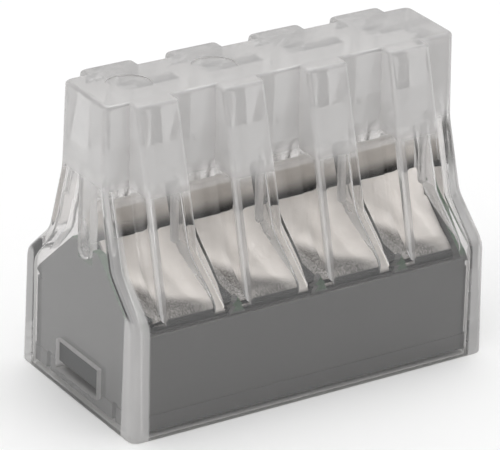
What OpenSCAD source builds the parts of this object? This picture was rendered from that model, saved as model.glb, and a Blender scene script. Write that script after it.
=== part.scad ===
// Push-in wire connector for eight conductors: a clear housing over a grey
// wire-entry insert, with one busbar and two rows of sprung clamping tongues.
// Millimetres. Origin: centre of the base outline, on the plane it stands on.
// X runs along a row of entries, Y from the front row to the rear row, +Z up.

/* [Housing] */
// overall length along the row of columns
body_length = 22.45; // [22.2:0.05:22.8]
// overall depth of the skirt
body_depth = 11.9; // [11.8:0.05:12.4]
// overall height
body_height = 17.7; // [17:0.1:19]
// height where the skirt ends and the sloping shoulder begins
skirt_height = 6.65; // [6.5:0.05:6.9]
// height where the shoulder becomes the steeper flank
knee_height = 8.75; // [8.6:0.05:9]
// half depth at the knee
knee_half_depth = 3.55; // [3.5:0.05:4]
// height of the waist below the narrow top block
waist_height = 12.8; // [12.4:0.1:13.4]
// half depth at the waist
waist_half_depth = 2.35; // [2.3:0.05:2.6]
// half depth of the top block between the columns
top_half_depth = 2.2; // [2.15:0.05:2.3]
// half depth of a column at the very top
column_top_half_depth = 2.95; // [2.9:0.05:3.2]
// wall of the skirt's two long sides
skirt_wall = 0.8; // [0.7:0.05:0.85]
// wall of the two ends
end_wall = 0.86; // [0.8:0.01:0.9]
// wall of the flanks, columns and webs above the skirt
thin_wall = 0.4; // [0.35:0.01:0.42]
// height of the flat ceiling over the busbar; the top above it is solid
chamber_height = 13.6; // [13.2:0.1:14.2]
// lean of each end face, measured inwards at the top
end_draft = 0.35; // [0.1:0.05:0.4]
// radius of the skirt's upright corners
corner_radius = 0.6; // [0.6:0.1:1.2]

/* [Columns] */
// distance between neighbouring wire entries in a row
entry_pitch = 5.2; // [5.15:0.05:5.25]
// sideways offset of all columns from the middle of the housing
column_shift = -0.375; // [-0.4:0.025:-0.3]
// width of a column at the top
column_width = 2.6; // [2.5:0.05:2.7]
// how far a column's right side flares out at its foot
column_flare = 1.45; // [1.2:0.05:1.5]
// height where that side begins to flare
flare_height = 9.75; // [9.6:0.05:10.2]
// radius of the rod on the right-hand wall inside each column
rod_radius = 0.27; // [0.2:0.01:0.3]
// how much wider the rear columns are, on their right
rear_column_extra = 0.6; // [0:0.05:0.6]

/* [Wire entries] */
// radius of the round entry that takes the insulation
entry_radius = 1.85; // [1.7:0.05:1.9]
// distance of each row of entries from the middle
entry_row_offset = 2.35; // [2.25:0.05:2.4]
// radius of the narrower guide that takes the bare conductor
guide_radius = 1.1; // [1:0.05:1.15]
// distance of each row of guides from the middle
guide_row_offset = 1.85; // [1.8:0.05:1.9]
// height where the insulation stops
insulation_stop_height = 4.2; // [4:0.1:4.4]

/* [Insert] */
// height of the insert's entry face above the housing's rim
insert_floor_height = 0.3; // [0.2:0.05:0.4]
// height of the insert's deck
deck_height = 5.2; // [5.1:0.05:5.25]
// height of the insert's end plates
end_plate_height = 9; // [8.8:0.05:9.1]
// length of the latch windows in the housing's ends, along Y
window_width = 4.3; // [4:0.1:4.6]
// height of the latch windows
window_height = 1.75; // [1.6:0.05:1.9]
// height of the latch windows' lower edge
window_floor_height = 1; // [0.9:0.05:1.1]

/* [Metal] */
// thickness of the busbar
busbar_thickness = 0.6; // [0.5:0.05:0.6]
// height of the busbar's upper edge
busbar_top_height = 11.3; // [11:0.1:11.5]
// thickness of the spring steel
spring_thickness = 0.2; // [0.15:0.01:0.2]
// distance of a tongue's bend from the middle
bend_offset = 4.2; // [4.15:0.05:4.25]
// height of a tongue's bend
bend_height = 5.65; // [5.65:0.05:5.75]
// distance of a tongue's clamping edge from the middle, at rest
tip_offset = 0.5; // [0.5:0.05:0.6]
// height of a tongue's clamping edge, at rest
tip_height = 9.3; // [9.2:0.05:9.4]

/* [Hidden] */
$fn = 48;
columns = 4;
// Gap between neighbouring pieces that rest against each other.
fit_gap = 0.05;
// Overshoot that carries a cutting solid clear of the face it cuts.
cut = 0.1;

half_length = body_length / 2;
half_depth = body_depth / 2;
// The skirt leans in slightly between the rim and the shoulder.
shoulder_half_depth = half_depth - 0.1;
cavity_half_length = half_length - end_wall;
cavity_half_depth = half_depth - skirt_wall;
column_lean = (shoulder_half_depth - column_top_half_depth) / (body_height - skirt_height);
// A column's right side leans out by this much between the top and the flare.
column_right_lean = 0.15;
// Distance of the rods from the middle plane.
rod_offset = 3.2;
// The flare's wall leans, so it measures a little more along X.
flare_wall = 1.1 * thin_wall;
// Upright rib inside each end wall, nested in the top of the insert's end plate.
end_rib_radius = 0.6;
end_rib_depth = 0.55;
end_rib_nesting = 0.75;
end_rib_foot_height = end_plate_height - end_rib_nesting;

insert_half_length = cavity_half_length - fit_gap;
insert_half_depth = cavity_half_depth - fit_gap;
insert_corner_radius = corner_radius - 0.4;
// The lowest band of the insert is a little wider and closes the housing's mouth.
mouth_band_height = 1.2;
mouth_band_step = 0.06;
core_half_length = insert_half_length - mouth_band_step;
core_half_depth = insert_half_depth - mouth_band_step;
entry_chamfer = 0.25;
funnel_height = 0.6;
funnel_flare = 0.2;
end_plate_thickness = 0.4;
end_plate_root_inset = 1;
end_plate_shoulder_height = 6;
end_plate_shoulder_chamfer = 0.4;
end_plate_top_half = 1.35;
// The channel in the deck that holds one spring strip.
channel_floor_height = deck_height - 0.55;
channel_inner = guide_row_offset + guide_radius + 0.15;
channel_outer = insert_half_depth - 0.25;
// The deck's long edges carry a low wall, and pointed gussets stand behind it.
rim_height = 5.75;
gusset_width = 0.9;
gusset_inner = 4.45;
gusset_outer = 4.8;
gusset_height = 6.45;
notch_offset = 3.45;
notch_width = 0.4;
notch_depth = 0.3;
notch_height = 1;
lug_clearance = 0.15;
lug_depth = end_wall - 0.15;
lug_lead_in = 0.35;

// The saddle on the deck holds the busbar's lower edge in a slot.
saddle_half_width = guide_row_offset - guide_radius - fit_gap;
saddle_height = 6.1;
busbar_floor_height = deck_height + 0.45;
busbar_half_length = cavity_half_length - end_rib_depth - 0.1;
busbar_edge_radius = 0.12;

tongue_rise = tip_height - bend_height;
tongue_run = bend_offset - tip_offset;
tongue_angle = atan2(tongue_rise, tongue_run);
tongue_length = norm([tongue_rise, tongue_run]);
tongue_root_left = 0.85;
tongue_root_right = 3.3;
tongue_tip_left = 1.6;
tongue_tip_right = 3.45;
// Above this length from the bend a tongue is as wide as its clamping edge.
tongue_shoulder = 1.3;
strip_clearance = 0.15;
strip_half_length = insert_half_length - end_plate_thickness - strip_clearance;
strip_floor_height = channel_floor_height + fit_gap;
strip_inner = channel_inner + fit_gap;
// A riser leans out from the strip and ends just below each bend.
riser_foot = 3.75;
riser_outer = bend_offset + spring_thickness / 2;
riser_height = bend_height - spring_thickness / 2 - fit_gap;

function column_x(index) = column_shift + entry_pitch * (index - (columns + 1) / 2);

// Middle of the gap between the tongues of one column and the next.
function divider_x(index) =
    column_x(index) + (tongue_root_right + entry_pitch - tongue_root_left) / 2;

// Reach of a tongue's root to the right of its column's middle; the last one is shorter.
function root_right(index) = min(tongue_root_right, strip_half_length - column_x(index));

// Reach of a tongue's clamping edge to the right; the last one ends with the busbar.
function tip_right(index) = min(tongue_tip_right, busbar_half_length - column_x(index));

// Half depth of the top block between the columns, at a height above the waist.
function block_half_depth(height) = waist_half_depth
    - (waist_half_depth - top_half_depth) * (height - waist_height) / (body_height - waist_height);

// Unit normal of the line from one point to the next, to its right.
function right_normal(from, to) = [to[1] - from[1], from[0] - to[0]] / norm(to - from);

// The corner between two lines, moved inwards so that both walls are equally thick.
function inset_corner(before, corner, after, wall) =
    let (first = right_normal(before, corner), second = right_normal(corner, after))
    corner - (first + second) * wall / (1 + first * second);

// A profile drawn in the YZ plane, extruded from x_low to x_high.
module along_x(x_low, x_high) {
    translate([x_low, 0, 0])
        rotate([90, 0, 90])
            linear_extrude(x_high - x_low)
                children();
}

// A profile drawn in the XZ plane, extruded from y_low to y_high.
module along_y(y_low, y_high) {
    translate([0, y_high, 0])
        rotate([90, 0, 0])
            linear_extrude(y_high - y_low)
                children();
}

// A box given by its low and high corners.
module box(low, high) {
    translate(low)
        cube(high - low);
}

// A closed outline made of one half and its mirror image across the middle plane.
module mirrored_profile(half) {
    last = len(half) - 1;
    polygon(concat(half, [for (i = [last:-1:0]) [-half[i][0], half[i][1]]]));
}

// An upright block with quarter-round corners, centred in X and Y.
module rounded_block(half_x, half_y, radius, low, high) {
    translate([0, 0, low])
        linear_extrude(high - low) {
            square([2 * (half_x - radius), 2 * half_y], center = true);
            square([2 * half_x, 2 * (half_y - radius)], center = true);
            for (x = [-1, 1], y = [-1, 1])
                translate([x * (half_x - radius), y * (half_y - radius)])
                    circle(radius);
        }
}

// Skirt, shoulder, flank and top block, without the columns.
module waisted_body() {
    intersection() {
        along_x(-half_length, half_length)
            mirrored_profile([
                [half_depth, 0],
                [shoulder_half_depth, skirt_height],
                [knee_half_depth, knee_height],
                [waist_half_depth, waist_height],
                [top_half_depth, body_height]
            ]);
        along_y(-half_depth, half_depth)
            mirrored_profile([
                [half_length, 0],
                [half_length - end_draft, body_height]
            ]);
        rounded_block(half_length, half_depth, corner_radius, 0, body_height);
    }
}

// The front or rear half of a column's buttress, with its sloping face.
module column_body(index, side) {
    left = column_x(index) - column_width / 2;
    right = column_x(index) + column_width / 2;
    upper_right = right + (side > 0 ? rear_column_extra : 0);
    foot = skirt_height - cut;
    mirror([0, side < 0 ? 1 : 0, 0])
        intersection() {
            along_x(left - column_flare, right + 2 * column_flare)
                polygon([
                    [-cut, foot],
                    [shoulder_half_depth, foot],
                    [shoulder_half_depth, skirt_height],
                    [column_top_half_depth, body_height],
                    [-cut, body_height]
                ]);
            along_y(-cut, half_depth)
                polygon([
                    [left, foot],
                    [left, body_height],
                    [upper_right, body_height],
                    [upper_right + column_right_lean, flare_height],
                    [right + column_flare, foot]
                ]);
        }
}

// The chamber that runs the whole length: skirt pocket, shoulder and busbar room.
module common_chamber() {
    shoulder = [shoulder_half_depth, skirt_height];
    knee = [knee_half_depth, knee_height];
    waist = [waist_half_depth, waist_height];
    along_x(-cavity_half_length, cavity_half_length)
        mirrored_profile([
            [cavity_half_depth, -cut],
            [cavity_half_depth, skirt_height - thin_wall],
            inset_corner(shoulder, knee, waist, thin_wall),
            inset_corner(knee, waist, [top_half_depth, body_height], thin_wall),
            [block_half_depth(chamber_height) - thin_wall, chamber_height]
        ]);
}

// A rod with a round end that hangs from the ceiling along a column's right-hand wall.
module rod(index, side) {
    translate([column_x(index) + column_width / 2 - thin_wall, side * rod_offset,
            flare_height + rod_radius]) {
        sphere(rod_radius);
        cylinder(chamber_height - flare_height, r = rod_radius);
    }
}

// The hollow inside one column: narrow at the ceiling, flared at its foot.
module column_chamber(index) {
    left = column_x(index) - column_width / 2 + thin_wall;
    right = column_x(index) + column_width / 2 - thin_wall;
    flared_right = column_x(index) + column_width / 2 + column_flare - flare_wall;
    floor = skirt_height - 1;
    face_height = skirt_height
        + (shoulder_half_depth - thin_wall - cavity_half_depth) / column_lean;
    top_inner = cavity_half_depth - (chamber_height - face_height) * column_lean;
    difference() {
        intersection() {
            along_x(left - cut, flared_right + cut)
                mirrored_profile([
                    [cavity_half_depth, floor],
                    [cavity_half_depth, face_height],
                    [top_inner, chamber_height]
                ]);
            along_y(-half_depth, half_depth)
                polygon([
                    [left, floor],
                    [left, chamber_height],
                    [right, chamber_height],
                    [right + column_right_lean, flare_height],
                    [flared_right, skirt_height],
                    [flared_right, floor]
                ]);
        }
        for (side = [-1, 1])
            rod(index, side);
    }
}

// Rounded upright rib that locates the end of the busbar, on the inside of one end.
module end_rib(side) {
    middle = end_rib_foot_height + end_rib_radius;
    mirror([side < 0 ? 1 : 0, 0, 0])
        along_x(cavity_half_length - end_rib_depth, cavity_half_length + cut) {
            translate([0, middle])
                circle(end_rib_radius);
            translate([-end_rib_radius, middle])
                square([2 * end_rib_radius, chamber_height - middle + cut]);
        }
}

// The window in one end of the housing that the insert's lug snaps into.
module latch_window(side) {
    mirror([side < 0 ? 1 : 0, 0, 0])
        box([cavity_half_length - cut, -window_width / 2, window_floor_height],
            [half_length + cut, window_width / 2, window_floor_height + window_height]);
}

// The clear shell: columns outside, one common room inside, and a solid top.
module housing() {
    color([0.86, 0.86, 0.85, 0.35])
        difference() {
            union() {
                waisted_body();
                for (index = [1:columns], side = [-1, 1])
                    column_body(index, side);
            }
            difference() {
                common_chamber();
                for (side = [-1, 1])
                    end_rib(side);
            }
            for (index = [1:columns])
                column_chamber(index);
            for (side = [-1, 1])
                latch_window(side);
        }
}

// A round wire entry with a chamfered mouth, and the offset guide behind it.
module wire_entry(index, side) {
    translate([column_x(index), side * entry_row_offset, 0]) {
        translate([0, 0, insert_floor_height - cut])
            cylinder(insulation_stop_height - insert_floor_height + cut, r = entry_radius);
        translate([0, 0, insert_floor_height])
            cylinder(entry_chamfer, entry_radius + entry_chamfer, entry_radius);
    }
    translate([column_x(index), side * guide_row_offset, insulation_stop_height]) {
        translate([0, 0, -cut])
            cylinder(deck_height - insulation_stop_height + 2 * cut, r = guide_radius);
        translate([0, 0, -cut])
            cylinder(funnel_height + cut, guide_radius + funnel_flare, guide_radius);
    }
}

// The plate at one end of the insert, with a notch for the housing's end rib.
module end_plate(side) {
    notch_half = end_rib_radius + lug_clearance;
    chamfer = end_plate_shoulder_chamfer;
    mirror([side < 0 ? 1 : 0, 0, 0])
        along_x(core_half_length - end_plate_thickness, core_half_length)
            difference() {
                mirrored_profile([
                    [insert_half_depth - end_plate_root_inset, deck_height - cut],
                    [core_half_depth, end_plate_shoulder_height - chamfer],
                    [insert_half_depth - chamfer, end_plate_shoulder_height],
                    [end_plate_top_half, end_plate_height]
                ]);
                translate([-notch_half, end_rib_foot_height - lug_clearance])
                    square([2 * notch_half, end_plate_height]);
            }
}

// A small pointed gusset in the deck's channel, between two tongues of one row.
module gusset(index, side) {
    half = gusset_width / 2;
    mirror([0, side < 0 ? 1 : 0, 0])
        translate([divider_x(index), 0, 0])
            along_y(gusset_inner, gusset_outer)
                polygon([
                    [-half, channel_floor_height - cut],
                    [half, channel_floor_height - cut],
                    [half, rim_height],
                    [0, gusset_height],
                    [-half, rim_height]
                ]);
}

// The low wall along one long edge of the deck, from one end plate to the other.
module rim_wall(side) {
    half = core_half_length - end_plate_thickness / 2;
    mirror([0, side < 0 ? 1 : 0, 0])
        box([-half, channel_outer, deck_height - cut], [half, core_half_depth, rim_height]);
}

// The channel in the deck for one spring strip, open at the top.
module strip_channel(side) {
    mirror([0, side < 0 ? 1 : 0, 0])
        box([-strip_half_length - fit_gap, channel_inner, channel_floor_height],
            [strip_half_length + fit_gap, channel_outer, deck_height + cut]);
}

// A snap lug with a sloping lower face, standing in the housing's latch window.
module latch_lug(side) {
    low = window_floor_height + lug_clearance;
    high = window_floor_height + window_height - lug_clearance;
    root = insert_half_length - cut;
    tip = insert_half_length + lug_depth;
    half = window_width / 2 - lug_clearance;
    mirror([side < 0 ? 1 : 0, 0, 0])
        along_y(-half, half)
            polygon([
                [root, low],
                [tip - lug_lead_in, low],
                [tip, low + lug_lead_in],
                [tip, high],
                [root, high]
            ]);
}

// A small slot in the end of the entry face, for the tool that prises the insert out.
module entry_face_notch(side_x, side_y) {
    mirror([side_x < 0 ? 1 : 0, 0, 0])
        translate([insert_half_length - notch_depth, side_y * notch_offset - notch_width / 2,
                insert_floor_height - cut])
            cube([notch_depth + cut, notch_width, notch_height + cut]);
}

// The grey block that closes the housing's mouth and guides the conductors in.
module wire_entry_insert() {
    color([0.4, 0.41, 0.41])
        difference() {
            union() {
                rounded_block(insert_half_length, insert_half_depth, insert_corner_radius,
                    insert_floor_height, mouth_band_height);
                difference() {
                    rounded_block(core_half_length, core_half_depth, insert_corner_radius,
                        mouth_band_height - cut, deck_height);
                    for (side = [-1, 1])
                        strip_channel(side);
                }
                for (side = [-1, 1]) {
                    rim_wall(side);
                    end_plate(side);
                    latch_lug(side);
                    for (index = [1:columns - 1])
                        gusset(index, side);
                }
                box([-busbar_half_length, -saddle_half_width, deck_height - cut],
                    [busbar_half_length, saddle_half_width, saddle_height]);
            }
            for (side = [-1, 1])
                for (index = [1:columns])
                    wire_entry(index, side);
            for (side_x = [-1, 1], side_y = [-1, 1])
                entry_face_notch(side_x, side_y);
            box([-busbar_half_length - cut, -busbar_thickness / 2 - fit_gap, busbar_floor_height],
                [busbar_half_length + cut, busbar_thickness / 2 + fit_gap, saddle_height + cut]);
        }
}

// A flat bar on edge, with slightly rounded upper edges.
module busbar() {
    half = busbar_thickness / 2;
    radius = busbar_edge_radius;
    width = busbar_top_height - busbar_floor_height;
    color([0.78, 0.76, 0.72])
        along_x(-busbar_half_length, busbar_half_length) {
            translate([-half, busbar_floor_height])
                square([busbar_thickness, width - radius]);
            translate([-half + radius, busbar_floor_height])
                square([busbar_thickness - 2 * radius, width]);
            for (edge = [-1, 1])
                translate([edge * (half - radius), busbar_top_height - radius])
                    circle(radius);
        }
}

// The flange that the tongues of one row spring from, with a leaning riser to each bend.
module spring_strip(side) {
    color([0.74, 0.73, 0.71])
        mirror([0, side < 0 ? 1 : 0, 0]) {
            box([-strip_half_length, strip_inner, strip_floor_height],
                [strip_half_length, riser_foot, strip_floor_height + spring_thickness]);
            for (index = [1:columns])
                along_x(column_x(index) - tongue_root_left, column_x(index) + root_right(index))
                    polygon([
                        [riser_foot - spring_thickness, strip_floor_height],
                        [riser_foot, strip_floor_height],
                        [riser_outer, riser_height],
                        [riser_outer - spring_thickness, riser_height]
                    ]);
        }
}

// One clamping tongue: a leaf with a narrow root that rises from its bend to the busbar.
module tongue(index, side) {
    color([0.8, 0.79, 0.77])
        mirror([0, side < 0 ? 0 : 1, 0])
            translate([column_x(index), -bend_offset, bend_height]) {
                rotate([tongue_angle, 0, 0])
                    translate([0, 0, -spring_thickness / 2])
                        linear_extrude(spring_thickness)
                            polygon([
                                [-tongue_root_left, 0],
                                [root_right(index), 0],
                                [tip_right(index), tongue_shoulder],
                                [tip_right(index), tongue_length],
                                [-tongue_tip_left, tongue_length],
                                [-tongue_tip_left, tongue_shoulder]
                            ]);
                translate([-tongue_root_left, 0, 0])
                    rotate([0, 90, 0])
                        cylinder(tongue_root_left + root_right(index), r = spring_thickness / 2);
            }
}

housing();
wire_entry_insert();
busbar();
spring_strip(-1);  // front_spring_strip
spring_strip(1);  // rear_spring_strip
tongue(1, -1);  // front_tongue_1
tongue(2, -1);  // front_tongue_2
tongue(3, -1);  // front_tongue_3
tongue(4, -1);  // front_tongue_4
tongue(1, 1);  // rear_tongue_1
tongue(2, 1);  // rear_tongue_2
tongue(3, 1);  // rear_tongue_3
tongue(4, 1);  // rear_tongue_4
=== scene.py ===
"""Looks of the push-in wire connector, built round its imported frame.

Metres in the row frame: X along a row of entries, Y from the front row to the
rear row, +Z up. The clear housing and the tongues are new pieces. The insert,
the busbar and the spring strips keep their CAD meshes; the two kinds of metal
piece among them get softened edges.
"""

import math

import bmesh
import bpy
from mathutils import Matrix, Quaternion, Vector


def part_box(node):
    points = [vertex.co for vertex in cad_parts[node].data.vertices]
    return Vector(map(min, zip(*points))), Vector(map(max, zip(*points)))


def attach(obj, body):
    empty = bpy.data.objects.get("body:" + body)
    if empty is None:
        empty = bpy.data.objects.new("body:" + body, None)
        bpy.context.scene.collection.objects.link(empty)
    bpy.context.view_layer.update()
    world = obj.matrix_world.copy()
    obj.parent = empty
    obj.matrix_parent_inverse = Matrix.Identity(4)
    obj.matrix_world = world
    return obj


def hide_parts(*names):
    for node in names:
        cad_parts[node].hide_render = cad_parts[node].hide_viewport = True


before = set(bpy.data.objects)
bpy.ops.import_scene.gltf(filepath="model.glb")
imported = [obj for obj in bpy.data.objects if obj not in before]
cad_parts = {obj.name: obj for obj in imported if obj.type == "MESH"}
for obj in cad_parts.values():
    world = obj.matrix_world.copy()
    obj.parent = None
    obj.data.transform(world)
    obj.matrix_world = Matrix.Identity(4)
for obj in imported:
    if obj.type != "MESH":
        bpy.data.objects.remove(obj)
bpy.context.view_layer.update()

MM = 0.001

# ---------------------------------------------------------------- dimensions

HOUSING_LOW, HOUSING_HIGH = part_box("housing")
LENGTH = HOUSING_HIGH.x - HOUSING_LOW.x
DEPTH = HOUSING_HIGH.y - HOUSING_LOW.y
HEIGHT = HOUSING_HIGH.z - HOUSING_LOW.z

TONGUE_BOXES = {name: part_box(name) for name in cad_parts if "_tongue_" in name}
# Each column has a tongue in the front row and one in the rear row.
COLUMNS = len(TONGUE_BOXES) // 2
ENTRY_PITCH = TONGUE_BOXES["front_tongue_2"][0].x - TONGUE_BOXES["front_tongue_1"][0].x
# Reach of a tongue to the left and right of its column's middle, at its root and its tip.
TONGUE_ROOT = (0.85 * MM, 3.3 * MM)
TONGUE_TIP = (1.6 * MM, 3.45 * MM)
# Above this length from the bend a tongue is as wide as its tip.
TONGUE_SHOULDER = 1.3 * MM
# The last tongue is cut short, and its tip ends this far before its root.
LAST_TIP_SETBACK = 0.05 * MM
COLUMN_X = [
    TONGUE_BOXES["front_tongue_1"][0].x + TONGUE_TIP[0] + index * ENTRY_PITCH
    for index in range(COLUMNS)
]
SPRING_THICKNESS = 0.2 * MM
DECK_HEIGHT = 5.2 * MM
RIM_HEIGHT = 5.75 * MM
# The stretch of the insert's deck with painted shade, near black: its floor, sides and ends, from the
# middle.
CHANNEL_FLOOR = DECK_HEIGHT - 0.6 * MM
CHANNEL_INNER = 3.0 * MM
CHANNEL_OUTER = 4.96 * MM
CHANNEL_END = 9.83 * MM
# A tongue's bend and its clamping edge, as (distance from the middle plane, height).
BEND = Vector((4.2 * MM, 5.65 * MM))
TIP = Vector((0.5 * MM, 9.3 * MM))
# A tongue's sheet stands upright for a short leg and folds over into its slope.
FOLD_LEG = 0.22 * MM
FOLD_RADIUS = 0.12 * MM
SHEET_LENGTH = FOLD_LEG + (TIP - BEND - Vector((0, FOLD_LEG))).length
# The crease starts at the root's right corner. Its direction is (across, along the sheet).
CREASE_DIRECTION = Vector((-0.9, 0.436))
CREASE_DROP = 0.2 * MM
CREASE_REACH = 1.2 * MM
CREASE_SOFTNESS = 0.12 * MM

SKIRT_HEIGHT = 6.65 * MM
KNEE_HEIGHT = 8.75 * MM
WAIST_HEIGHT = 12.8 * MM
CHAMBER_HEIGHT = 13.6 * MM
END_DRAFT = 0.35 * MM
END_WALL = 0.86 * MM
SKIRT_WALL = 0.8 * MM
THIN_WALL = 0.4 * MM
SHOULDER_HALF_DEPTH = DEPTH / 2 - 0.1 * MM
KNEE_HALF_DEPTH = 3.55 * MM
WAIST_HALF_DEPTH = 2.35 * MM
TOP_HALF_DEPTH = 2.2 * MM
COLUMN_TOP_HALF_DEPTH = 2.95 * MM
# Half depth of the skin between the columns, by height.
WEB_PROFILE = [
    (0.0, DEPTH / 2),
    (SKIRT_HEIGHT, SHOULDER_HALF_DEPTH),
    (KNEE_HEIGHT, KNEE_HALF_DEPTH),
    (WAIST_HEIGHT, WAIST_HALF_DEPTH),
    (HEIGHT, TOP_HALF_DEPTH),
]
# Half depth of a column's sloping face, by height; its foot is buried in the skirt.
PANEL_PROFILE = [
    (SKIRT_HEIGHT - 1.0 * MM, SHOULDER_HALF_DEPTH - 0.25 * MM),
    (SKIRT_HEIGHT, SHOULDER_HALF_DEPTH - 0.02 * MM),
    (HEIGHT, COLUMN_TOP_HALF_DEPTH),
]
# Half depth of the room inside the skirt and the flanks, by height.
ROOM_PROFILE = [
    (0.0, DEPTH / 2 - SKIRT_WALL),
    (SKIRT_HEIGHT - THIN_WALL, DEPTH / 2 - SKIRT_WALL),
    (KNEE_HEIGHT - 0.22 * MM, KNEE_HALF_DEPTH - 0.352 * MM),
    (WAIST_HEIGHT - 0.06 * MM, WAIST_HALF_DEPTH - 0.4 * MM),
    (HEIGHT, TOP_HALF_DEPTH - THIN_WALL),
]
# Half depth of the room inside a column, by height.
CELL_PROFILE = [
    (SKIRT_HEIGHT - 1.0 * MM, DEPTH / 2 - SKIRT_WALL - 0.03 * MM),
    (SKIRT_HEIGHT + 0.8 * MM, DEPTH / 2 - SKIRT_WALL - 0.03 * MM),
    (HEIGHT, COLUMN_TOP_HALF_DEPTH - THIN_WALL),
]
COLUMN_HALF_WIDTH = 1.3 * MM
FLARE_HEIGHT = 9.75 * MM
FLARE_WALL = 1.1 * THIN_WALL
# The flared walls lie within this distance to the right of a column's inner wall.
FLARE_REACH = 1.6 * MM
ROD_RADIUS = 0.27 * MM
ROD_OFFSET = 3.2 * MM
# Each half of a column reaches this far past the middle plane, inside the other half.
COLUMN_OVERLAP = 0.5 * MM
REAR_COLUMN_EXTRA = 0.6 * MM
# How far a column's right side stands out past its upper edge, by height.
COLUMN_FLARE = {
    side: [
        (SKIRT_HEIGHT - 0.1 * MM, 1.45 * MM),
        (FLARE_HEIGHT, 0.15 * MM + extra),
        (HEIGHT, extra),
    ]
    for side, extra in ((-1, 0.0), (1, REAR_COLUMN_EXTRA))
}
COLUMN_ROOM_FOOT = SKIRT_HEIGHT - 0.9 * MM
# How far the room inside it stands out to the right, by height.
ROOM_FLARE = [
    (SKIRT_HEIGHT, 1.45 * MM - FLARE_WALL + THIN_WALL),
    (FLARE_HEIGHT, 0.15 * MM),
    (CHAMBER_HEIGHT, 0.0),
]
# Plan radius of the housing's four upright corners, by height.
CORNER_RADIUS = [
    (SKIRT_HEIGHT, 0.6 * MM),
    (HEIGHT, 0.4 * MM),
]
ROOM_CORNER_RADIUS = 0.15 * MM
COLUMN_EDGE_RADIUS = 0.28 * MM
CELL_EDGE_RADIUS = 0.25 * MM
TOP_FILLET = 0.22 * MM
CEILING_FILLET = 0.15 * MM
COLUMN_CEILING_FILLET = 0.08 * MM
RIM_FILLET = 0.12 * MM
END_RIB_RADIUS = 0.6 * MM
END_RIB_DEPTH = 0.55 * MM
END_RIB_FILLET = 0.2 * MM
END_RIB_FOOT_HEIGHT = 8.25 * MM
WINDOW_HALF_WIDTH = 2.15 * MM
WINDOW_HEIGHTS = (1.0 * MM, 2.75 * MM)
WINDOW_CORNER_RADIUS = 0.08 * MM
GATE_MARK_RADIUS = 1.25 * MM
GATE_MARK_DEPTH = 0.07 * MM
# The rounded skin stays this far inside the CAD skin.
SKIN_INSET = 0.012 * MM
PROFILE_SOFTNESS = 0.3 * MM
# Overshoot that carries one solid clear of the faces of another before they are combined.
CUT = 0.3 * MM
# Place of the frosted material in the housing's list of materials.
FROSTED = 1
# Colour of the clear plastic where it is thick.
SOLID_TONE = (0.71, 0.7, 0.695)


# ------------------------------------------------------------- mesh helpers


def piecewise(points, value):
    """Straight-line interpolation in a list of (position, result) pairs."""
    if value <= points[0][0]:
        return points[0][1]
    for (low, first), (high, second) in zip(points, points[1:]):
        if value <= high:
            return first + (second - first) * (value - low) / (high - low)
    return points[-1][1]


def softened(points, value, softness=PROFILE_SOFTNESS, samples=7):
    """piecewise() averaged over a short stretch, which rounds the kinks."""
    steps = [2 * step / (samples - 1) - 1 for step in range(samples)]
    return sum(piecewise(points, value + step * softness) for step in steps) / samples


def rounded_outline(corners, segments=4):
    """A closed outline with every corner of [(x, y, radius), ...] rounded.

    Each corner gives the same number of points, so outlines can be lofted.
    """
    outline = []
    count = len(corners)
    for index, (x, y, radius) in enumerate(corners):
        corner = Vector((x, y))
        before = Vector(corners[index - 1][:2])
        after = Vector(corners[(index + 1) % count][:2])
        reach = min(radius, (before - corner).length * 0.48, (after - corner).length * 0.48)
        start = corner + (before - corner).normalized() * reach
        end = corner + (after - corner).normalized() * reach
        for step in range(segments + 1):
            t = step / segments
            outline.append(start * (1 - t) ** 2 + corner * (2 * t * (1 - t)) + end * t * t)
    return outline


def circle(centre, radius, segments):
    """A round outline."""
    angles = [math.tau * step / segments for step in range(segments)]
    return [centre + radius * Vector((math.cos(a), math.sin(a))) for a in angles]


def new_object(name, mesh):
    """A new object for a mesh, in the scene's own collection."""
    made = bpy.data.objects.new(name, mesh)
    bpy.context.scene.collection.objects.link(made)
    return made


def closed_object(name, work, rings):
    """A closed object from rings of vertices that all have the same count."""
    mesh = bpy.data.meshes.new(name)
    count = len(rings[0])
    for lower, upper in zip(rings, rings[1:]):
        for index in range(count):
            following = (index + 1) % count
            work.faces.new((lower[index], lower[following], upper[following], upper[index]))
    work.faces.new(list(reversed(rings[0])))
    work.faces.new(rings[-1])
    bmesh.ops.recalc_face_normals(work, faces=work.faces)
    work.to_mesh(mesh)
    work.free()
    return new_object(name, mesh)


def loft(name, rows):
    """A closed object from [(height, outline), ...], from the lowest row to the highest."""
    work = bmesh.new()
    rings = [[work.verts.new((p.x, p.y, height)) for p in outline] for height, outline in rows]
    return closed_object(name, work, rings)


def applied(made):
    """Bakes an object's modifiers into its mesh."""
    bpy.context.view_layer.update()
    depsgraph = bpy.context.evaluated_depsgraph_get()
    mesh = bpy.data.meshes.new_from_object(made.evaluated_get(depsgraph))
    made.modifiers.clear()
    made.data = mesh
    return made


def combine(target, other, operation):
    """Cuts or joins target with other, and removes other."""
    modifier = target.modifiers.new("combine", "BOOLEAN")
    modifier.operation = operation
    modifier.solver = "MANIFOLD"
    modifier.object = other
    applied(target)
    bpy.data.objects.remove(other)
    return target


def smooth_shading(made, angle=30):
    """Smooth shading with creases kept at edges sharper than the angle."""
    for polygon in made.data.polygons:
        polygon.use_smooth = True
    made.data.set_sharp_from_angle(angle=math.radians(angle))
    weighted = made.modifiers.new("flat_faces_first", "WEIGHTED_NORMAL")
    weighted.mode = "FACE_AREA"
    weighted.weight = 90
    weighted.keep_sharp = True


def soften_edges(made, width, segments=2, angle=30):
    """A bevel on the object's sharp edges."""
    bevel = made.modifiers.new("soft_edges", "BEVEL")
    bevel.width = width
    bevel.segments = segments
    bevel.limit_method = "ANGLE"
    bevel.angle_limit = math.radians(angle)
    bevel.miter_outer = "MITER_ARC"
    bevel.harden_normals = True


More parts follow.
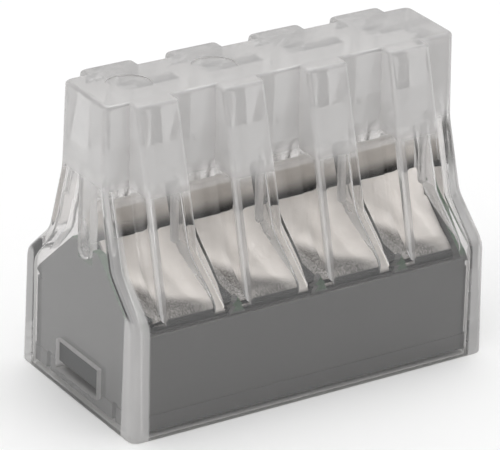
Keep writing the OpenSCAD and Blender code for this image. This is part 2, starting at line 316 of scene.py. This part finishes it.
# ------------------------------------------------------------------ housing


def filleted_rows(low, high, low_fillet, high_fillet, step=0.3 * MM):
    """(height, inset) from low to high, with quarter-round insets at the two ends."""
    quarter = [math.radians(90) * index / 4 for index in range(5)]
    rows = [
        (low + low_fillet * (1 - math.cos(angle)), low_fillet * (1 - math.sin(angle)))
        for angle in quarter
    ]
    count = max(2, round((high - low) / step))
    for index in range(1, count):
        height = low + (high - low) * index / count
        if low + low_fillet < height < high - high_fillet:
            rows.append((height, 0.0))
    rows += [
        (high - high_fillet * (1 - math.sin(angle)), high_fillet * (1 - math.cos(angle)))
        for angle in quarter
    ]
    return rows


def rectangle(left, right, half_depth, radius):
    """A rounded rectangle, symmetrical across the middle plane."""
    return rounded_outline([
        (left, -half_depth, radius),
        (right, -half_depth, radius),
        (right, half_depth, radius),
        (left, half_depth, radius),
    ])


def block_skin():
    """Skirt, shoulder, flanks and top block, with the edges rounded."""
    rows = []
    for height, inset in filleted_rows(0.0, HEIGHT, RIM_FILLET, TOP_FILLET):
        inset += SKIN_INSET
        half_length = LENGTH / 2 - END_DRAFT * height / HEIGHT - inset
        half_depth = softened(WEB_PROFILE, height) - inset
        outline = rectangle(-half_length, half_length, half_depth, piecewise(CORNER_RADIUS, height))
        rows.append((height, outline))
    return loft("clear_housing", rows)


def column_skin(middle, side):
    """Half of one column's buttress, with its sloping front (side -1) or rear face."""
    rows = []
    for height, inset in filleted_rows(PANEL_PROFILE[0][0], HEIGHT, 0.0, TOP_FILLET):
        inset += SKIN_INSET
        left = middle - COLUMN_HALF_WIDTH + inset
        right = middle + COLUMN_HALF_WIDTH + softened(COLUMN_FLARE[side], height) - inset
        face = side * (softened(PANEL_PROFILE, height) - inset)
        inner = -side * COLUMN_OVERLAP
        rows.append((height - SKIN_INSET, rounded_outline([
            (left, inner, COLUMN_EDGE_RADIUS),
            (right, inner, COLUMN_EDGE_RADIUS),
            (right, face, COLUMN_EDGE_RADIUS),
            (left, face, COLUMN_EDGE_RADIUS),
        ])))
    return loft("column_skin", rows)


def common_room():
    """The room that runs the whole length: skirt pocket, shoulder and busbar room."""
    rows = []
    half_length = LENGTH / 2 - END_WALL
    for height, inset in filleted_rows(-CUT, CHAMBER_HEIGHT, 0.0, CEILING_FILLET):
        half_depth = softened(ROOM_PROFILE, height) - inset
        outline = rectangle(-half_length + inset, half_length - inset, half_depth, ROOM_CORNER_RADIUS)
        rows.append((height, outline))
    return loft("common_room", rows)


def end_rib(side):
    """The upright rib with a rounded foot on the inside of one end."""
    middle = END_RIB_FOOT_HEIGHT + END_RIB_RADIUS
    outer = LENGTH / 2 - END_WALL + END_RIB_FILLET
    inner = LENGTH / 2 - END_WALL - END_RIB_DEPTH
    work = bmesh.new()
    rings = []
    for x, inset in filleted_rows(inner, outer, END_RIB_FILLET, 0.0):
        radius = END_RIB_RADIUS - inset
        points = [(radius, CHAMBER_HEIGHT + CUT), (-radius, CHAMBER_HEIGHT + CUT)]
        for step in range(13):
            angle = math.pi * (1 + step / 12)
            points.append((radius * math.cos(angle), middle + radius * math.sin(angle)))
        rings.append([work.verts.new((side * x, y, z)) for y, z in points])
    return closed_object("end_rib", work, rings)


def column_room(middle):
    """The room in one column, narrow at the ceiling and flared at its foot."""
    rows = []
    # The two rooms' ceilings stand apart a little, so that no faces of theirs coincide.
    ceiling = CHAMBER_HEIGHT - 0.02 * MM
    for height, inset in filleted_rows(COLUMN_ROOM_FOOT, ceiling, 0.0, COLUMN_CEILING_FILLET):
        left = middle - COLUMN_HALF_WIDTH + THIN_WALL + inset
        right = middle + COLUMN_HALF_WIDTH - THIN_WALL + softened(ROOM_FLARE, height) - inset
        half_depth = softened(CELL_PROFILE, height) - inset
        rows.append((height, rectangle(left, right, half_depth, CELL_EDGE_RADIUS)))
    return loft("column_room", rows)


def rod(middle, side):
    """A rod with a round lower end on the right-hand wall of one column's room."""
    rows = []
    centre = Vector((middle + COLUMN_HALF_WIDTH - THIN_WALL, side * ROD_OFFSET))
    # The round end stops just short of a point.
    for height, inset in filleted_rows(FLARE_HEIGHT, CHAMBER_HEIGHT + CUT, ROD_RADIUS * 0.96, 0.0):
        rows.append((height, circle(centre, ROD_RADIUS - inset, 20)))
    return loft("rod", rows)


def latch_window(side):
    """The cut for the insert's lug in one end."""
    low, high = WINDOW_HEIGHTS
    inner = LENGTH / 2 - END_WALL - CUT
    outer = LENGTH / 2 + CUT
    rows = []
    for height in (low, high):
        ends = sorted((side * inner, side * outer))
        rows.append((height, rectangle(*ends, WINDOW_HALF_WIDTH, WINDOW_CORNER_RADIUS)))
    return loft("latch_window", rows)


def gate_mark(middle):
    """A shallow round recess in the top of one column."""
    outline = circle(Vector((middle, 0.0)), GATE_MARK_RADIUS, 40)
    return loft("gate_mark", [(HEIGHT - GATE_MARK_DEPTH, outline), (HEIGHT + CUT, outline)])


def frost_inner_walls(skin):
    """Gives the frosted material to the rods, the flared walls beside them and the end ribs."""
    slack = 0.05 * MM
    for polygon in skin.data.polygons:
        x, y, z = polygon.center
        if not SKIRT_HEIGHT < z < CHAMBER_HEIGHT:
            continue
        end_gap = LENGTH / 2 - END_WALL - abs(x)
        off_wall = 0.02 * MM < end_gap < END_RIB_DEPTH + 2 * slack
        if off_wall and abs(y) < END_RIB_RADIUS + 2 * slack:
            polygon.material_index = FROSTED
        for middle in COLUMN_X:
            wall = middle + COLUMN_HALF_WIDTH - THIN_WALL
            from_rod = Vector((x - wall, abs(y) - ROD_OFFSET)).length
            on_rod = from_rod < ROD_RADIUS * 1.05 and z > FLARE_HEIGHT - slack
            inner = abs(y) < softened(CELL_PROFILE, z) - slack
            flared = z < FLARE_HEIGHT and 0 < x - wall < FLARE_REACH and inner
            if on_rod or (flared and polygon.normal.x < -0.25):
                polygon.material_index = FROSTED


def make_housing():
    """The clear housing: a rounded skin with a solid top, hollowed by rounded rooms."""
    skin = block_skin()
    for middle in COLUMN_X:
        for side in (-1, 1):
            combine(skin, column_skin(middle, side), "UNION")
    room = common_room()
    for side in (-1, 1):
        combine(room, end_rib(side), "DIFFERENCE")
    for middle in COLUMN_X:
        cell = column_room(middle)
        for side in (-1, 1):
            combine(cell, rod(middle, side), "DIFFERENCE")
        combine(room, cell, "UNION")
    for side in (-1, 1):
        combine(room, latch_window(side), "UNION")
    combine(skin, room, "DIFFERENCE")
    for middle in COLUMN_X[:2]:
        combine(skin, gate_mark(middle), "DIFFERENCE")
    skin.data.materials.clear()
    skin.data.materials.append(clear_plastic("clear_plastic", (0.02, 0.08), (700, 0.1), (0.015, 0.5)))
    skin.data.materials.append(
        clear_plastic("frosted_clear_plastic", (0.2, 0.45), (7000, 1.0), (0.35, 0.5), 0.97)
    )
    frost_inner_walls(skin)
    smooth_shading(skin)
    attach(skin, "body")
    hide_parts("housing")
    return skin


# ------------------------------------------------------------------ tongues


def sheet_path(along):
    """Middle of the sheet and its direction, at a length from the bend."""
    upright = Vector((0, 1))
    knee = BEND + upright * FOLD_LEG
    slope = (TIP - knee).normalized()
    if along < FOLD_LEG - FOLD_RADIUS:
        return BEND + upright * along, upright
    if along > FOLD_LEG + FOLD_RADIUS:
        return knee + slope * (along - FOLD_LEG), slope
    t = (along - FOLD_LEG + FOLD_RADIUS) / (2 * FOLD_RADIUS)
    start = knee - upright * FOLD_RADIUS
    end = knee + slope * FOLD_RADIUS
    centre = start * (1 - t) ** 2 + knee * (2 * t * (1 - t)) + end * t * t
    return centre, (upright * (1 - t) + slope * t).normalized()


def crease_offset(across, along):
    """How far the sheet drops at a place; the lower left triangle is pressed in."""
    place = Vector((across - TONGUE_ROOT[1], along - FOLD_LEG))
    below_crease = CREASE_DIRECTION.x * place.y - CREASE_DIRECTION.y * place.x
    pressed = math.hypot(max(0.0, below_crease), CREASE_SOFTNESS) - CREASE_SOFTNESS
    fade = min(1.0, along / (2 * FOLD_LEG)) * (1 - along / SHEET_LENGTH) ** 2
    return -CREASE_DROP * fade * min(1.0, pressed / CREASE_REACH)


def tongue_ring(share, width, side):
    """One cross-section of a tongue, at a share of its width from left to right.

    width is the reach to the right of the column's middle, at the root and at the tip.
    """
    steps = 34
    upper = []
    lower = []
    for step in range(steps + 1):
        # The power puts the points closer together at the fold.
        along = SHEET_LENGTH * (step / steps) ** 1.5
        widening = min(1.0, along / TONGUE_SHOULDER)
        left = -TONGUE_ROOT[0] + (TONGUE_ROOT[0] - TONGUE_TIP[0]) * widening
        right = width[0] + (width[1] - width[0]) * widening
        across = left + (right - left) * share
        centre, direction = sheet_path(along)
        outward = Vector((direction.y, -direction.x))
        centre = centre + outward * crease_offset(across, along)
        for points, way in ((upper, 1), (lower, -1)):
            place = centre + outward * way * SPRING_THICKNESS / 2
            points.append((across, side * place.x, place.y))
    # The root ends in a half circle round the bend.
    round_end = []
    for step in range(1, 6):
        angle = math.pi * step / 6
        turned = Vector((-math.cos(angle), -math.sin(angle)))
        place = BEND + turned * SPRING_THICKNESS / 2
        round_end.append((lower[0][0], side * place.x, place.y))
    return list(reversed(lower)) + round_end + upper


def make_tongue(name):
    """A tongue of spring sheet with a rounded fold and a shallow slanting crease."""
    column = COLUMN_X[int(name[-1]) - 1]
    side = -1 if name.startswith("front") else 1
    reach = TONGUE_BOXES[name][1].x - column
    cut_short = reach < TONGUE_TIP[1] - LAST_TIP_SETBACK
    tip = reach - LAST_TIP_SETBACK if cut_short else reach
    width = (min(TONGUE_ROOT[1], reach), tip)
    work = bmesh.new()
    rings = []
    stations = 28
    for station in range(stations + 1):
        ring = tongue_ring(station / stations, width, side)
        rings.append([work.verts.new((column + x, y, z)) for x, y, z in ring])
    tongue = closed_object(f"{name}_sheet", work, rings)
    soften_edges(tongue, 0.025 * MM, angle=50)
    smooth_shading(tongue, angle=50)
    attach(tongue, f"{name}_body")
    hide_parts(name)
    return tongue


# ---------------------------------------------------------------- materials


class Nodes:
    """A new node material, with short calls that add its nodes."""

    def __init__(self, name):
        self.material = bpy.data.materials.new(name)
        self.material.use_nodes = True
        self.tree = self.material.node_tree
        self.tree.nodes.clear()
        self.coordinates = self.add("TexCoord")
        self.geometry = self.add("NewGeometry")

    def add(self, kind, **settings):
        node = self.tree.nodes.new("ShaderNode" + kind)
        for name, value in settings.items():
            setattr(node, name, value)
        return node

    def feed(self, socket, value):
        """Links an output to a socket, or sets a plain value on it."""
        if isinstance(value, bpy.types.NodeSocket):
            self.tree.links.new(value, socket)
        else:
            socket.default_value = value

    def part_of(self, vector, axis):
        split = self.add("SeparateXYZ")
        self.feed(split.inputs["Vector"], vector)
        return split.outputs[axis]

    def place(self, axis):
        """A coordinate of the row frame, in metres."""
        return self.part_of(self.coordinates.outputs["Object"], axis)

    def share(self, axis):
        """A coordinate from 0 to 1 across the piece."""
        return self.part_of(self.coordinates.outputs["Generated"], axis)

    def facing(self, axis):
        """A component of the face's normal."""
        return self.part_of(self.geometry.outputs["True Normal"], axis)

    def maths(self, operation, *values):
        node = self.add("Math", operation=operation)
        for socket, value in zip(node.inputs, values):
            self.feed(socket, value)
        return node.outputs["Value"]

    def remap(self, value, low, high, to_low=0.0, to_high=1.0):
        node = self.add("MapRange", interpolation_type="SMOOTHSTEP")
        names = ("Value", "From Min", "From Max", "To Min", "To Max")
        for name, given in zip(names, (value, low, high, to_low, to_high)):
            self.feed(node.inputs[name], given)
        return node.outputs["Result"]

    def band(self, value, low, high):
        """1 between low and high, and 0 elsewhere."""
        above = self.maths("GREATER_THAN", value, low)
        below = self.maths("LESS_THAN", value, high)
        return self.maths("MULTIPLY", above, below)

    def noise(self, scale, detail, stretch=(1, 1, 1)):
        mapping = self.add("Mapping")
        self.feed(mapping.inputs["Vector"], self.coordinates.outputs["Object"])
        self.feed(mapping.inputs["Scale"], stretch)
        node = self.add("TexNoise")
        self.feed(node.inputs["Vector"], mapping.outputs["Vector"])
        self.feed(node.inputs["Scale"], scale)
        self.feed(node.inputs["Detail"], detail)
        return node.outputs["Fac"]

    def blend(self, share, first, second):
        """A colour between two colours."""
        node = self.add("Mix", data_type="RGBA")
        for name, value in (("Factor", share), ("A", first), ("B", second)):
            if isinstance(value, tuple):
                value = (*value, 1)
            self.feed(node.inputs[name], value)
        return node.outputs["Result"]

    def bump(self, height, strength, distance):
        node = self.add("Bump")
        self.feed(node.inputs["Height"], height)
        self.feed(node.inputs["Strength"], strength)
        self.feed(node.inputs["Distance"], distance)
        return node.outputs["Normal"]

    def surface(self, **values):
        """The Principled shader, with its inputs given by name."""
        node = self.add("BsdfPrincipled")
        for name, value in values.items():
            self.feed(node.inputs[name.replace("_", " ")], value)
        return node.outputs["BSDF"]

    def finish(self, shader):
        self.feed(self.add("OutputMaterial").inputs["Surface"], shader)
        return self.material


def clear_plastic(name, gloss, grain, haze, tone=0.88):
    """Moulded polycarbonate, hazier and greyer where it is thick.

    gloss is the lowest and the highest roughness, grain is its scale and depth, haze
    is the share of light scattered in the walls and in the thick parts, and tone is
    the brightness of the walls.
    Shadow rays pass straight through it, so that lamps reach the inside.
    """
    nodes = Nodes(name)
    height = nodes.place("Z")
    solid = nodes.remap(height, CHAMBER_HEIGHT - 1.6 * MM, CHAMBER_HEIGHT + 0.3 * MM)
    turning = nodes.maths("ABSOLUTE", nodes.maths("MULTIPLY", nodes.facing("X"), nodes.facing("Y")))
    corner = nodes.remap(turning, 0.05, 0.4, 0.0, 0.7)
    # The end walls seen from their edges, and the skirt's upright corners on the ends.
    end_gap = nodes.maths("SUBTRACT", LENGTH / 2, nodes.maths("ABSOLUTE", nodes.place("X")))
    side_gap = nodes.maths("SUBTRACT", DEPTH / 2, nodes.maths("ABSOLUTE", nodes.place("Y")))
    near_end = nodes.remap(end_gap, 1.35 * END_WALL, 1.05 * END_WALL)
    near_side = nodes.remap(side_gap, 1.7 * SKIRT_WALL, 1.3 * SKIRT_WALL)
    edge_on = nodes.maths("LESS_THAN", nodes.maths("ABSOLUTE", nodes.facing("X")), 0.5)
    on_skirt = nodes.remap(height, SKIRT_HEIGHT + 0.6 * MM, SKIRT_HEIGHT)
    post = nodes.maths("MAXIMUM", edge_on, nodes.maths("MULTIPLY", near_side, on_skirt))
    post = nodes.maths("MULTIPLY", post, near_end)
    post = nodes.maths("MULTIPLY", post, nodes.remap(height, WAIST_HEIGHT, KNEE_HEIGHT))
    thickness = nodes.maths("MAXIMUM", nodes.maths("MAXIMUM", solid, corner), post)
    bump = nodes.bump(nodes.noise(grain[0], 2), grain[1], 0.05 * MM)
    plastic = nodes.surface(
        Base_Color=nodes.blend(thickness, (tone, tone * 0.988, tone * 0.982), SOLID_TONE),
        Transmission_Weight=nodes.remap(thickness, 0.0, 1.0, 1 - haze[0], 1 - haze[1]),
        IOR=1.585,
        Roughness=nodes.remap(nodes.noise(260, 4), 0.35, 0.75, *gloss),
        Normal=bump,
    )
    passing = nodes.add("BsdfTransparent")
    nodes.feed(passing.inputs["Color"], (0.93, 0.93, 0.92, 1))
    mix = nodes.add("MixShader")
    nodes.feed(mix.inputs["Fac"], nodes.add("LightPath").outputs["Is Shadow Ray"])
    nodes.feed(mix.inputs[1], plastic)
    nodes.feed(mix.inputs[2], passing.outputs["BSDF"])
    return nodes.finish(mix.outputs["Shader"])


def grey_plastic():
    """Dark grey moulded plastic: satin, with painted shade near black in the deck's channels, tinted
    above its rim.
    """
    nodes = Nodes("grey_plastic")
    cloud = nodes.noise(400, 5)
    grey = nodes.blend(cloud, (0.076, 0.077, 0.077), (0.1, 0.101, 0.101))
    height = nodes.remap(nodes.place("Z"), RIM_HEIGHT, RIM_HEIGHT + 0.25 * MM)
    edge = nodes.maths("LESS_THAN", nodes.maths("ABSOLUTE", nodes.facing("X")), 0.5)
    tinted = nodes.blend(nodes.maths("MULTIPLY", height, edge), grey, (0.075, 0.14, 0.085))
    # Painted shade: the deck's channels are painted near black, where shade falls in them.
    across = nodes.band(nodes.maths("ABSOLUTE", nodes.place("Y")), CHANNEL_INNER, CHANNEL_OUTER)
    down = nodes.band(nodes.place("Z"), CHANNEL_FLOOR, RIM_HEIGHT + 0.02 * MM)
    along = nodes.maths("LESS_THAN", nodes.maths("ABSOLUTE", nodes.place("X")), CHANNEL_END)
    channel = nodes.maths("MULTIPLY", nodes.maths("MULTIPLY", across, down), along)
    return nodes.finish(nodes.surface(
        Base_Color=nodes.blend(channel, tinted, (0.004, 0.004, 0.004)),
        Roughness=nodes.remap(cloud, 0.2, 0.8, 0.38, 0.55),
        Normal=nodes.bump(nodes.noise(9000, 2), 0.25, 0.02 * MM),
    ))


def metal(nodes, tone, roughness, stretch=(1, 1, 1)):
    """Finishes a satin metal of one tone, with a fine grain."""
    grain = nodes.noise(6500, 3, stretch)
    return nodes.finish(nodes.surface(
        Base_Color=tone,
        Metallic=1.0,
        Roughness=nodes.remap(grain, 0.2, 0.8, roughness - 0.08, roughness + 0.1),
        Normal=nodes.bump(grain, 0.45, 0.03 * MM),
    ))


def tinned_bar():
    """Rolled tinned copper, with painted shade near black behind the tongues' edges and a painted
    highlight along the upper edge.
    """
    nodes = Nodes("tinned_bar")
    tone = nodes.blend(nodes.noise(900, 4), (0.62, 0.58, 0.54), (0.8, 0.76, 0.71))
    # Painted shade: the bar is near black below the tongues' tips and fades up to its own tone.
    fade = nodes.remap(nodes.place("Z"), TIP.y, TIP.y + 1.0 * MM)
    tone = nodes.blend(fade, (0.02, 0.019, 0.018), tone)
    # Painted highlight: the top of the bar is painted nearly white.
    painted_highlight = nodes.remap(nodes.share("Z"), 0.92, 0.95)
    return metal(nodes, nodes.blend(painted_highlight, tone, (0.96, 0.94, 0.92)), 0.34, (0.1, 1, 1))


def tongue_steel():
    """Spring steel, granular, with painted shade in the triangle below the crease and near black
    painted shade on the upright leg.
    """
    nodes = Nodes("spring_steel")
    tone = nodes.blend(nodes.noise(900, 4), (0.8, 0.765, 0.73), (1.0, 0.965, 0.93))
    # The crease runs up to the left from the lower right corner.
    slant = nodes.maths("ADD", nodes.share("Z"), nodes.maths("MULTIPLY", nodes.share("X"), 0.48))
    # Painted shade: the triangle below the crease is darkened, with a speckled grain.
    crease_shade = nodes.remap(slant, 0.58, 0.4)
    speckles = nodes.remap(nodes.noise(12000, 5), 0.4, 0.6)
    pressed = nodes.blend(speckles, (0.17, 0.163, 0.156), (0.36, 0.345, 0.33))
    # Painted shade: the upright leg below the fold is painted near black.
    leg = nodes.remap(nodes.share("Z"), 0.09, 0.05)
    return metal(nodes, nodes.blend(leg, nodes.blend(crease_shade, tone, pressed), (0.01, 0.01, 0.01)), 0.36)


def strip_steel():
    """Spring steel deep in the channel, painted near black as shade."""
    nodes = Nodes("shaded_spring_steel")
    return metal(nodes, nodes.blend(nodes.noise(900, 4), (0.05, 0.05, 0.05), (0.1, 0.1, 0.1)), 0.4)


def wear(made, material):
    """Gives an object one material and nothing else."""
    made.data.materials.clear()
    made.data.materials.append(material)


# -------------------------------------------------------- stage and camera


def make_floor():
    mesh = bpy.data.meshes.new("floor")
    work = bmesh.new()
    bmesh.ops.create_grid(work, x_segments=1, y_segments=1, size=3.0)
    work.to_mesh(mesh)
    work.free()
    floor = new_object("floor", mesh)
    nodes = Nodes("floor_paper")
    wear(floor, nodes.finish(nodes.surface(Base_Color=(0.95, 0.95, 0.95, 1), Roughness=0.7)))
    return floor


def make_lamp(name, direction, distance, size, power):
    """A square area lamp that faces the middle of the object."""
    data = bpy.data.lights.new(name, "AREA")
    data.shape = "SQUARE"
    data.size = size
    data.energy = power
    lamp = bpy.data.objects.new(name, data)
    bpy.context.scene.collection.objects.link(lamp)
    middle = Vector((0, 0, HEIGHT / 2))
    lamp.location = middle + Vector(direction).normalized() * distance
    lamp.rotation_euler = (middle - lamp.location).to_track_quat("-Z", "Y").to_euler()
    return lamp


def make_world():
    world = bpy.data.worlds.new("studio")
    bpy.context.scene.world = world
    world.use_nodes = True
    background = world.node_tree.nodes["Background"]
    background.inputs["Color"].default_value = (1, 1, 1, 1)
    background.inputs["Strength"].default_value = 0.62


def make_camera():
    """A long lens from the front left, above, with a slight roll."""
    azimuth = math.radians(-33.12)
    elevation = math.radians(24.81)
    roll = math.radians(1.79)
    distance = 207.7 * MM
    # The middle of the view, measured from the object's middle in the camera's plane.
    pan_right = -0.31 * MM
    pan_up = -1.51 * MM
    back = Vector((
        math.sin(azimuth) * math.cos(elevation),
        -math.cos(azimuth) * math.cos(elevation),
        math.sin(elevation),
    ))
    turn = (-back).to_track_quat("-Z", "Y") @ Quaternion((0, 0, 1), roll)
    data = bpy.data.cameras.new("camera")
    data.lens = 278.9
    data.sensor_width = 36
    data.clip_start = 0.01
    data.clip_end = 20
    camera = bpy.data.objects.new("camera", data)
    bpy.context.scene.collection.objects.link(camera)
    camera.rotation_mode = "QUATERNION"
    camera.rotation_quaternion = turn
    middle = Vector((-0.125 * MM, 0, 9.5 * MM))
    camera.location = middle + back * distance + turn @ Vector((pan_right, pan_up, 0))
    bpy.context.scene.camera = camera


# ------------------------------------------------------------------- build

make_camera()
make_world()
make_floor()
make_lamp("overhead", (0.1, 0.25, 1.0), 0.6, 0.7, 1.9)
make_lamp("plate_glow", (0.5, -0.42, 0.78), 0.6, 0.3, 0.25)
make_lamp("left_side", (-1.0, -0.25, 0.45), 0.6, 0.4, 0.6)
bpy.context.scene.view_settings.view_transform = "Standard"
bpy.context.scene.cycles.max_bounces = 32
bpy.context.scene.cycles.transmission_bounces = 32

housing = make_housing()

steel = tongue_steel()
for name in TONGUE_BOXES:
    wear(make_tongue(name), steel)
# The spring strips get painted shade: their steel is painted near black.
shaded_strip_steel = strip_steel()
for name in ("front_spring_strip", "rear_spring_strip"):
    wear(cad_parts[name], shaded_strip_steel)
    soften_edges(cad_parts[name], 0.04 * MM)
wear(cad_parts["busbar"], tinned_bar())
soften_edges(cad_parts["busbar"], 0.04 * MM)
wear(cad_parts["wire_entry_insert"], grey_plastic())
